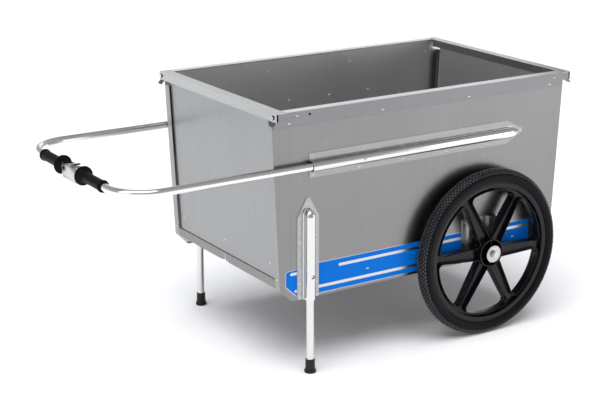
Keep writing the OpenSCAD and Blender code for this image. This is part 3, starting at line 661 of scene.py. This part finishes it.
def channel_half_width(s, length, width, shoulder, tip_r):
    """Half the flange's width at s along the channel: straight, tapered, then a round tip."""
    tangent = length - tip_r + tip_r * math.sin(TIP_ANGLE)
    if s <= shoulder:
        return width / 2
    if s <= tangent:
        share = (s - shoulder) / (tangent - shoulder)
        return width / 2 + (tip_r * math.cos(TIP_ANGLE) - width / 2) * share
    return tip_r * math.sqrt(max(0.0, 1 - ((s - length + tip_r) / tip_r) ** 2))


def channel_surface(length, width, shoulder, dome_start, dome_end):
    """Outer skin of a riveted tube channel: rows of (across, along, out) from its open end to its tip.

    The flange narrows from the shoulder on; the crown sinks from dome_start to nothing at dome_end.
    """
    thick, centre, r, fillet, tip_r = 1.6, 13.0, 15.0, 3.0, 9.0
    dome = dome_end - dome_start
    stations = [dome_start * i / 12 for i in range(12)]
    stations += [dome_start + dome * math.sin(math.radians(a)) for a in range(0, 91, 6)]
    tangent = length - tip_r + tip_r * math.sin(TIP_ANGLE)
    stations += [dome_end + (tangent - dome_end) * i / 5 for i in range(1, 5)]
    stations += [length - tip_r + tip_r * math.sin(math.radians(b)) for b in (50, 58, 66, 74, 82, 88)]
    rows = []
    for s in stations:
        share = min(1.0, max(0.0, (s - dome_start) / dome))
        k = math.sqrt(max(0.0, 1 - share * share))
        edge = channel_half_width(s, length, width, shoulder, tip_r)
        f = fillet * min(1.0, 2 * k)
        half = [(r * k * math.sin(math.radians(a)), (centre + r * math.cos(math.radians(a))) * k)
                for a in range(0, 91, 9)]
        half += [(r * k, (centre * k + thick + f) / 2)]
        half += [(r * k + f - f * math.cos(math.radians(a)), thick + f - f * math.sin(math.radians(a)))
                 for a in range(0, 91, 18)]
        start = r * k + f
        half += [(start + (edge - start) * share, thick) for share in (0.33, 0.66, 1.0)]
        half = [(min(u, edge), max(h, thick)) for u, h in half]
        full = [(-u, h) for u, h in reversed(half[1:])] + half
        rows.append([(u, s, h) for u, h in full])
    return rows


def channel_mesh(name, rows, place, side):
    """The channel's skin with its faces outward, thickened inward to the sheet's 1.6 mm."""
    count = len(rows[0])
    verts = [place(*p) for row in rows for p in row]
    faces = [(i * count + j, i * count + j + 1, (i + 1) * count + j + 1, (i + 1) * count + j)
             for i in range(len(rows) - 1) for j in range(count - 1)]
    mesh = build_mesh(name, verts, faces, side, recalc=False)
    outward = 1 if side == "far" else -1
    if sum(p.normal.y * p.area for p in mesh.polygons) * outward < 0:
        mesh.flip_normals()
    weld(mesh, 0.00002)
    return applied(mesh, ("SOLIDIFY", {"thickness": 0.0016, "offset": -1.0, "use_even_offset": False}))


def hole_cutter(x, y, z, r, depth):
    """Scratch cylinder along Y used to cut a hole; removed after use."""
    bm = bmesh.new()
    bmesh.ops.create_cone(bm, cap_ends=True, segments=40, radius1=r * MM, radius2=r * MM,
                          depth=depth * MM)
    place = Matrix.Translation((x * MM, y * MM, z * MM)) @ Matrix.Rotation(math.pi / 2, 4, "X")
    bmesh.ops.transform(bm, matrix=place, verts=bm.verts)
    mesh = bpy.data.meshes.new("cutter")
    bm.to_mesh(mesh)
    bm.free()
    obj = bpy.data.objects.new("cutter", mesh)
    bpy.context.scene.collection.objects.link(obj)
    return obj


HANDLE_LOW, HANDLE_HIGH = mm_box("near_handle_channel")
LEG_LOW, LEG_HIGH = mm_box("near_leg_channel")
LEG_X = (LEG_LOW.x + LEG_HIGH.x) / 2
HANDLE_Z = (HANDLE_LOW.z + HANDLE_HIGH.z) / 2
BUTTON_LOW, BUTTON_HIGH = mm_box("near_leg_button")
SNAP_Z = (BUTTON_LOW.z + BUTTON_HIGH.z) / 2
SNAP_R = 5.5                        # the snap button's hole in the leg channel
CUT_AT, CUT_DEPTH = 23, 20          # the hole's cutter, off the wall: it passes the crown only

for side in SIDES:
    length = HANDLE_HIGH.x - HANDLE_LOW.x
    rows = channel_surface(length, HANDLE_HIGH.z - HANDLE_LOW.z, shoulder=length - 61,
                           dome_start=length - 62, dome_end=length - 22)
    mesh = channel_mesh(f"{side}_handle_channel_skin", rows,
                        lambda u, s, h: (HANDLE_LOW.x + s, -(WALL + h), HANDLE_Z + u), side)
    # Painted highlight: the crown's faces take the lighter crown tone.
    assign_faces(mesh, lambda c, n: abs(c.z - HANDLE_Z) < CROWN_HALF and abs(c.y) > WALL + FLANGE_TOP)
    add_piece(f"{side}_pressed_handle_channel", mesh, f"{side}_side", "channel", [FLANGE, CROWN_PAINTED_LIGHT],
              [f"{side}_handle_channel"], sharp=40)
    length = LEG_HIGH.z - LEG_LOW.z
    rows = channel_surface(length, LEG_HIGH.x - LEG_LOW.x, shoulder=length - 56,
                           dome_start=length - 56, dome_end=length - 30)
    mesh = channel_mesh(f"{side}_leg_channel_skin", rows,
                        lambda u, s, h: (LEG_X + u, -(WALL + h), LEG_LOW.z + s), side)
    flip = -1 if side == "near" else 1
    cutter = hole_cutter(LEG_X, flip * (WALL + CUT_AT), SNAP_Z, SNAP_R, CUT_DEPTH)
    mesh = applied(mesh, ("BOOLEAN", {"object": cutter, "operation": "DIFFERENCE", "solver": "EXACT"}))
    bpy.data.objects.remove(cutter)
    # Painted highlight: the crown's faces take the lighter crown tone.
    assign_faces(mesh, lambda c, n: abs(c.x - LEG_X) < CROWN_HALF and abs(c.y) > WALL + FLANGE_TOP)
    add_piece(f"{side}_pressed_leg_channel", mesh, f"{side}_side", "channel", [LEG_FLANGE, LEG_CROWN_PAINTED_LIGHT],
              [f"{side}_leg_channel"], sharp=40)


# ---------------------------------------------------------------- grips

GRIP_LOW, GRIP_HIGH = mm_box("near_grip")
BAR_X = (GRIP_LOW.x + GRIP_HIGH.x) / 2
BAR_Z = (GRIP_LOW.z + GRIP_HIGH.z) / 2


def grip_mesh(side):
    """Rubber grip: hand-stop disc, sleeve with shallow grooves, beaded end."""
    disc, end = -GRIP_HIGH.y, -GRIP_LOW.y
    bore, sleeve, groove = 11.1, 15.0, 14.5
    profile = [(bore, disc), (15.4, disc), (16.0, disc + 0.3), (24.8, disc + 0.6), (26.4, disc + 1.4)]
    profile += [(27.0, disc + 3.0), (26.5, disc + 4.8), (25.0, disc + 6.0), (19.5, disc + 7.4)]
    profile += [(17.2, disc + 9.2), (15.8, disc + 12.5), (sleeve, disc + 17.0)]
    t = disc + 20.0
    while t < end - 16:
        profile += [(sleeve, t), (groove, t + 0.5), (groove, t + 1.1), (sleeve, t + 1.6)]
        t += 5.6
    profile += [(sleeve, end - 12), (13.7, end - 10.2), (14.0, end - 8.8), (16.4, end - 7.6)]
    profile += [(17.4, end - 5.2), (17.0, end - 2.6), (15.4, end - 0.6), (13.6, end), (bore, end)]
    shell = Shell()
    shell.lathe(profile, lambda a, b, t: (BAR_X + a, -t, BAR_Z + b), 72)
    return build_mesh(f"{side}_grip", shell.verts, shell.faces, side)


for side in SIDES:
    add_piece(f"{side}_moulded_grip", grip_mesh(side), f"{side}_handle", "grip_rubber", GRIP,
              [f"{side}_grip"], sharp=30)


# ---------------------------------------------------------------- bevelled sheet metal


def eased(node, width):
    """Copy of a CAD node's mesh with its hard edges eased by width mm."""
    bm = bmesh.new()
    bm.from_mesh(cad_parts[node].data)
    bmesh.ops.remove_doubles(bm, verts=bm.verts, dist=JOINED)
    flat = math.radians(0.3)        # triangles that lie this flat become one face
    bmesh.ops.dissolve_limit(bm, angle_limit=flat, verts=bm.verts, edges=bm.edges)
    mesh = bpy.data.meshes.new(f"{node}_eased")
    bm.to_mesh(mesh)
    bm.free()
    return applied(mesh, ("BEVEL", {"width": width * MM, "segments": 2, "limit_method": "ANGLE",
                                    "angle_limit": math.radians(35), "use_clamp_overlap": True}))


# CAD node: width of the eased edge in mm, slot, materials
EASED = {
    "side_wall": (0.4, "sheet", [SHEET_IN_PAINTED_LIGHT, SHEET_PAINTED_SHADE, PANEL_PAINTED_SHADE]),
    "top_rail": (0.55, "rail", [RAIL_PAINTED_LIGHT, RAIL_BAND_PAINTED_SHADE]),
    "axle_bracket": (0.7, "bracket", [ZINC]),
    "floor_panel": (0.4, "sheet", [SHEET_IN_PAINTED_LIGHT, SHEET_PAINTED_SHADE]),
}
FACING = 0.7                        # a face looks this way if this much of its normal does

for side in SIDES:
    flip = -1 if side == "near" else 1
    for name, (width, slot, materials) in EASED.items():
        mesh = eased(f"{side}_{name}", width)
        if name == "side_wall":
            # Painted light and shade: outward faces take the dark outer tone, faces along x the panel's
            # tone, and the rest the light inner tone.
            assign_faces(mesh, lambda c, n: n.y * flip > FACING and abs(c.y) > WALL - 0.2)
            assign_faces(mesh, lambda c, n: abs(n.x) > FACING and abs(c.y) < WALL - 3, index=2)
        if name == "top_rail":
            # Painted shade: the rail's outward faces take the dark band tone.
            assign_faces(mesh, lambda c, n: n.y * flip > FACING)
        if name == "floor_panel":
            # Painted light and shade: the floor's top keeps the light inner tone, and its ends and
            # underside take the dark outer tone.
            assign_faces(mesh, lambda c, n: abs(n.x) > FACING or n.z < -FACING)
        body = f"{side}_floor" if name == "floor_panel" else f"{side}_side"
        keep_flats(add_piece(f"{side}_{name}_sheet", mesh, body, slot, materials,
                             [f"{side}_{name}"], sharp=38))
for end in ENDS:
    flip = -1 if end == "front" else 1
    mesh = eased(f"{end}_panel", 0.4)
    # Painted light and shade: the panel's outer face takes the dark panel tone, and the rest the light
    # inner tone.
    assign_faces(mesh, lambda c, n: n.x * flip > FACING)
    keep_flats(add_piece(f"{end}_panel_sheet", mesh, f"{end}_end", "sheet", [SHEET_IN_PAINTED_LIGHT, PANEL_PAINTED_SHADE],
                         [f"{end}_panel"], sharp=38))
    keep_flats(add_piece(f"{end}_end_rail_sheet", eased(f"{end}_end_rail", 0.6), f"{end}_end", "rail",
                         END_RAIL, [f"{end}_end_rail"], sharp=38))
    add_piece(f"{end}_clips_sheet", eased(f"{end}_clips", 0.3), f"{end}_clip", "spring_steel", SPRING,
              [f"{end}_clips"], sharp=38)
add_piece("latch_saddle_sheet", eased("latch_saddle", 0.5), "saddle", "latch_metal", SADDLE,
          ["latch_saddle"], sharp=38)


# ---------------------------------------------------------------- dark strips at the corners, painted shadow in the gaps


def gap_shadow_mesh(end):
    """Two dark strips along the panel's side edges, filling most of the gap to the wall flanges: painted
    shadow in the gap.
    """
    points = [vert.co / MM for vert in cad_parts[f"{end}_panel"].data.vertices]
    edge = max(p.y for p in points)
    out = -1 if end == "front" else 1
    side_points = [p for p in points if p.y > edge - 0.1]
    low = min(p.z for p in side_points) + 1.5
    high = RAIL_LOW.z - 2
    low_x = max(p.x * out for p in side_points if p.z < low + 1) * out
    top_x = max(p.x * out for p in side_points) * out
    depth = out * 6
    shell = Shell()
    for flip in (-1, 1):
        inner, outer = flip * (edge + 0.05), flip * (edge + 1.7)
        shell.block([(x, y, z) for front, z in ((low_x, low), (top_x, high))
                     for x, y in ((front, inner), (front - depth, inner), (front - depth, outer),
                                  (front, outer))])
    return build_mesh(f"{end}_seal", shell.verts, shell.faces)


def painted_shadow_strip_mesh(side):
    """Two dark strips on the inner faces of a wall's end flanges, clear of the folding floor: painted
    shadow in the corner pocket.
    """
    floor_low, floor_high = mm_box("near_floor_panel")
    middle = (floor_low.x + floor_high.x) / 2
    floor_end = floor_high.x - middle
    low = floor_high.z + 20
    points = [vert.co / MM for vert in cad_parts["near_side_wall"].data.vertices]
    edge = min(-p.y for p in points)
    flange = [p for p in points if -p.y < edge + 0.1 and p.z > WALL_LOW.z + 5 and p.x > middle]
    high = max(p.z for p in flange)
    foot = min(p.z for p in flange)
    top_x = min(p.x for p in flange if p.z > high - 1) - middle
    foot_x = min(p.x for p in flange if p.z < foot + 1) - middle
    low_x = foot_x + (top_x - foot_x) * (low - foot) / (high - foot)
    inner, outer = -edge - 0.3, -edge - 12          # y of the strip's two sides on the flange
    shell = Shell()
    for s in (-1, 1):
        ends = [(low_x - 0.15, floor_end + 0.6, low), (top_x - 0.15, top_x - 6, high - 1)]
        shell.block([(middle + s * x, y, z) for a, b, z in ends
                     for x, y in ((a, inner), (b, inner), (b, outer), (a, outer))])
    return build_mesh(f"{side}_painted_shadow_strip", shell.verts, shell.faces, side)


# Painted shadow: dark strips where the box's inner corners are in shade.
for side in SIDES:
    add_piece(f"{side}_painted_shadow_strips", painted_shadow_strip_mesh(side), f"{side}_side", "plastic", BLACK)
# Painted shadow: dark strips in the gaps between each end panel and the wall flanges.
for end in ENDS:
    add_piece(f"{end}_painted_gap_shadow", gap_shadow_mesh(end), f"{end}_end", "plastic", BLACK)


# ---------------------------------------------------------------- rivets


def islands(mesh):
    """Loose parts of a mesh, each as a list of points in mm."""
    bm = bmesh.new()
    bm.from_mesh(mesh)
    bmesh.ops.remove_doubles(bm, verts=bm.verts, dist=JOINED)
    seen = set()
    parts = []
    for vert in bm.verts:
        if vert.index in seen:
            continue
        seen.add(vert.index)
        queue, part = [vert], []
        while queue:
            v = queue.pop()
            part.append(v.co / MM)
            for edge in v.link_edges:
                other = edge.other_vert(v)
                if other.index not in seen:
                    seen.add(other.index)
                    queue.append(other)
        parts.append(part)
    bm.free()
    return parts


SHANK_R = 2.4                       # the rivets' shanks


def rivet_mesh(node, name):
    """Pop rivets: a domed head with the mandrel's hole in its middle, on a shank with a rolled tail."""
    shell = Shell()
    steps = 28
    for part in islands(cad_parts[node].data):
        low = [min(p[k] for p in part) for k in range(3)]
        high = [max(p[k] for p in part) for k in range(3)]
        size = [high[k] - low[k] for k in range(3)]
        # the two equal sizes are the head's width, the third is along the rivet
        axis = min(range(3), key=lambda k: abs(size[k] - sorted(size)[1]) < 0.02)
        u, v = [k for k in range(3) if k != axis]
        middle = [(low[k] + high[k]) / 2 for k in range(3)]
        r = size[u] / 2
        rim = [p[axis] for p in part if math.hypot(p[u] - middle[u], p[v] - middle[v]) > r - 0.3]
        base = sum(rim) / len(rim)
        out = 1 if high[axis] - base < base - low[axis] else -1
        head = (high[axis] - base) if out > 0 else (base - low[axis])
        tail = (base - low[axis]) if out > 0 else (high[axis] - base)
        profile = [(0.0, head * 0.42), (1.15, head * 0.45), (1.25, head * 0.86), (1.7, head)]
        profile += [(r * 0.62, head * 0.86), (r * 0.86, head * 0.55), (r - 0.1, head * 0.26)]
        profile += [(r, head * 0.1), (r, 0.0), (SHANK_R, 0.0), (SHANK_R, -tail + 1.4)]
        profile += [(3.5, -tail + 1.3), (3.3, -tail + 0.4), (1.9, -tail), (0.0, -tail)]
        verts = []
        for x, y in circle(1.0, steps):
            for radius, t in profile:
                p = [0.0, 0.0, 0.0]
                p[axis] = base + out * t
                p[u] = middle[u] + radius * x
                p[v] = middle[v] + radius * y
                verts.append(tuple(p))
        count = len(profile)
        faces = []
        for i in range(steps):
            a, b = i * count, (i + 1) % steps * count
            faces += [(a + j, a + j + 1, b + j + 1, b + j) for j in range(count - 1)]
        shell.add(verts, faces)
    mesh = build_mesh(name, shell.verts, shell.faces, recalc=False)
    weld(mesh, JOINED, recalc=True)
    return mesh


for side in SIDES:
    mesh = rivet_mesh(f"{side}_wall_rivets", f"{side}_pop_rivets")
    add_piece(f"{side}_pop_rivets", mesh, f"{side}_side", "rivet", RIVET,
              [f"{side}_wall_rivets"], sharp=40)
for end in ENDS:
    mesh = rivet_mesh(f"{end}_rivets", f"{end}_pop_rivets")
    add_piece(f"{end}_pop_rivets", mesh, f"{end}_end", "rivet", RIVET, [f"{end}_rivets"], sharp=40)


# ---------------------------------------------------------------- printed film

DECAL_LOW, DECAL_HIGH = mm_box("near_decal")
BRACKET_LOW, BRACKET_HIGH = mm_box("near_axle_bracket")


def film_plate(shell, outline, low, high):
    """Flat plate on the wall with its outline in X and Z, from low to high mm off the sheet."""
    shell.loop_of_rings([[(x, -(WALL + h), z) for x, z in outline] for h in (low, high)], close=False)
    count = len(outline)
    start = len(shell.verts) - 2 * count
    shell.faces.append(tuple(range(start + count, start + 2 * count)))
    shell.faces.append(tuple(reversed(range(start, start + count))))


def film_areas(inset):
    """The film's three areas, split by the leg channel and the axle bracket."""
    low, high = DECAL_LOW.z + inset, DECAL_HIGH.z - inset
    left = DECAL_LOW.x + inset
    right = DECAL_HIGH.x - inset
    leg_low, leg_high = LEG_LOW.x - 0.6, LEG_HIGH.x + 0.6
    post_low, post_high = BRACKET_LOW.x - 1.2, BRACKET_HIGH.x + 1.2
    cut = 40.0                      # the first area's lower edge slopes up over this much
    corner = low + cut * (1 - (leg_low - left) / (cut + 2)) - 2
    first = [(left, low + cut - 4), (leg_low, corner), (leg_low, high - 7), (left, high - 9)]
    yield rounded(first, [5, 0, 0, 8])
    yield rounded([(leg_high, low), (post_low, low), (post_low, high), (leg_high, high)], 0)
    yield rounded([(post_high, low), (right, low), (right, high), (post_high, high)], [0, 4, 4, 0])


def film_stripes():
    """Silver bars printed on the film: an upper and a lower line."""
    half = 4.2
    upper, lower = DECAL_HIGH.z - 19, DECAL_LOW.z + 20
    leg_low, leg_high = LEG_LOW.x - 0.8, LEG_HIGH.x + 0.8
    post_low, post_high = BRACKET_LOW.x - 1.4, BRACKET_HIGH.x + 1.4
    start, end = DECAL_LOW.x, DECAL_HIGH.x - 4
    # each span: its two ends, and which of them are round
    for z, spans in (
        (upper, ((start + 15, leg_low, 1, 0), (start + 176, post_low, 1, 0), (post_high, end, 0, 1))),
        (lower, ((start + 29, leg_low, 1, 0), (leg_high, post_low, 0, 0), (post_high, end, 0, 1))),
    ):
        for a, b, round_a, round_b in spans:
            ra, rb = (half - 0.2) * round_a, (half - 0.2) * round_b
            yield rounded([(a, z - half), (b, z - half), (b, z + half), (a, z + half)], [ra, rb, rb, ra])


FILM_BORDER = 1.3                   # silver edge left bare round the blue

for side in SIDES:
    border, blue, bars = Shell(), Shell(), Shell()
    for outline in film_areas(0):
        film_plate(border, outline, 0.02, 0.16)
    for outline in film_areas(FILM_BORDER):
        film_plate(blue, outline, 0.04, 0.28)
    for outline in film_stripes():
        film_plate(bars, outline, 0.06, 0.38)
    body = f"{side}_side"
    add_piece(f"{side}_film_border", build_mesh("film_border", border.verts, border.faces, side), body,
              "decal", SILVER_PRINT)
    add_piece(f"{side}_film", build_mesh("film", blue.verts, blue.faces, side), body, "decal", DECAL,
              [f"{side}_decal"])
    add_piece(f"{side}_film_bars", build_mesh("film_bars", bars.verts, bars.faces, side), body, "decal",
              SILVER_PRINT)


# ---------------------------------------------------------------- stage, light and camera


def stage_floor():
    """Pale matt floor, a little below the tyres."""
    bm = bmesh.new()
    bmesh.ops.create_grid(bm, x_segments=2, y_segments=2, size=40)
    mesh = bpy.data.meshes.new("floor")
    bm.to_mesh(mesh)
    bm.free()
    floor = bpy.data.objects.new("floor", mesh)
    bpy.context.scene.collection.objects.link(floor)
    m = Mat("floor")
    set_input(m.bsdf, "Roughness", 1.0)
    set_input(m.bsdf, "Specular IOR Level", 0.0)
    tone = m.noise((1, 1, 1), 0.6, 2.0)
    shade = m.ramp(tone, [(0.0, (0.90, 0.905, 0.925)), (1.0, (0.92, 0.925, 0.94))])
    m.link(shade, m.bsdf.inputs["Base Color"])
    mesh.materials.append(m.mat)
    floor.location.z = -0.5 * MM
    floor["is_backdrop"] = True


def area_light(name, where, aim, size, power):
    """Rectangular soft box at where, turned towards aim."""
    data = bpy.data.lights.new(name, "AREA")
    data.shape = "RECTANGLE"
    data.size, data.size_y = size
    data.energy = power
    light = bpy.data.objects.new(name, data)
    light.location = where
    light.rotation_euler = (Vector(aim) - Vector(where)).to_track_quat("-Z", "Y").to_euler()
    bpy.context.scene.collection.objects.link(light)
    light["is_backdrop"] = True


def sun_light(name, lean, spread, strength, glossy):
    """Broad overhead light; lean is how far it comes from x and y for each metre of height.

    Only a glossy light shows in reflections.
    """
    data = bpy.data.lights.new(name, "SUN")
    data.angle = math.radians(spread)
    data.energy = strength
    light = bpy.data.objects.new(name, data)
    light.rotation_euler = Vector((lean[0], lean[1], 1.0)).to_track_quat("Z", "Y").to_euler()
    bpy.context.scene.collection.objects.link(light)
    light.visible_glossy = glossy
    light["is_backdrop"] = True


def studio():
    """Soft grey surroundings, a broad light from above and three soft boxes."""
    world = bpy.data.worlds.new("studio")
    bpy.context.scene.world = world
    world.use_nodes = True
    nodes, links = world.node_tree.nodes, world.node_tree.links
    # tone by height: white at the horizon, grey from a quarter of the way up, darker overhead
    coord = nodes.new("ShaderNodeTexCoord")
    split = nodes.new("ShaderNodeSeparateXYZ")
    links.new(coord.outputs["Generated"], split.inputs[0])
    ramp = nodes.new("ShaderNodeValToRGB")
    ramp.color_ramp.elements[0].position = 0.0
    ramp.color_ramp.elements[0].color = (1.0, 1.0, 1.0, 1)
    ramp.color_ramp.elements[1].position = 0.9
    ramp.color_ramp.elements[1].color = (0.42, 0.42, 0.42, 1)
    for position, tone in ((0.14, 0.85), (0.24, 0.55), (0.40, 0.62)):
        ramp.color_ramp.elements.new(position).color = (tone, tone, tone * 1.015, 1)
    links.new(split.outputs["Z"], ramp.inputs["Fac"])
    links.new(ramp.outputs["Color"], nodes["Background"].inputs["Color"])
    nodes["Background"].inputs["Strength"].default_value = 0.66
    lean, spread = (-0.25, -0.2), 58
    sun_light("overhead", lean, spread, 2.1, glossy=False)
    sun_light("overhead sheen", lean, spread, 1.0, glossy=True)
    area_light("front box", (-3.2, -0.6, 2.2), (0, 0, 0.4), (1.6, 2.0), 12)
    area_light("side box", (2.9, -2.6, 1.3), (0.5, 0, 0.4), (1.4, 1.8), 16)
    area_light("back box", (3.2, 5.0, 2.5), (0.2, 0, 0.7), (3.4, 1.9), 13)


def camera():
    """The photo's camera, from a least squares fit of the cart's own points."""
    data = bpy.data.cameras.new("camera")
    data.sensor_width = 36.0
    data.lens = 88.31
    data.clip_end = 100
    cam = bpy.data.objects.new("camera", data)
    cam.location = (-2.2647, -3.5419, 1.6658)
    cam.rotation_euler = (math.radians(90 - 16.782), 0, math.radians(-32.574))
    bpy.context.scene.collection.objects.link(cam)
    bpy.context.scene.camera = cam
    cam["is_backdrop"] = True


stage_floor()
studio()
camera()
bpy.context.scene.view_settings.view_transform = "Standard"

plain = [[[float(v) for v in corner] for corner in corners] for corners in (cad_box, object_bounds())]
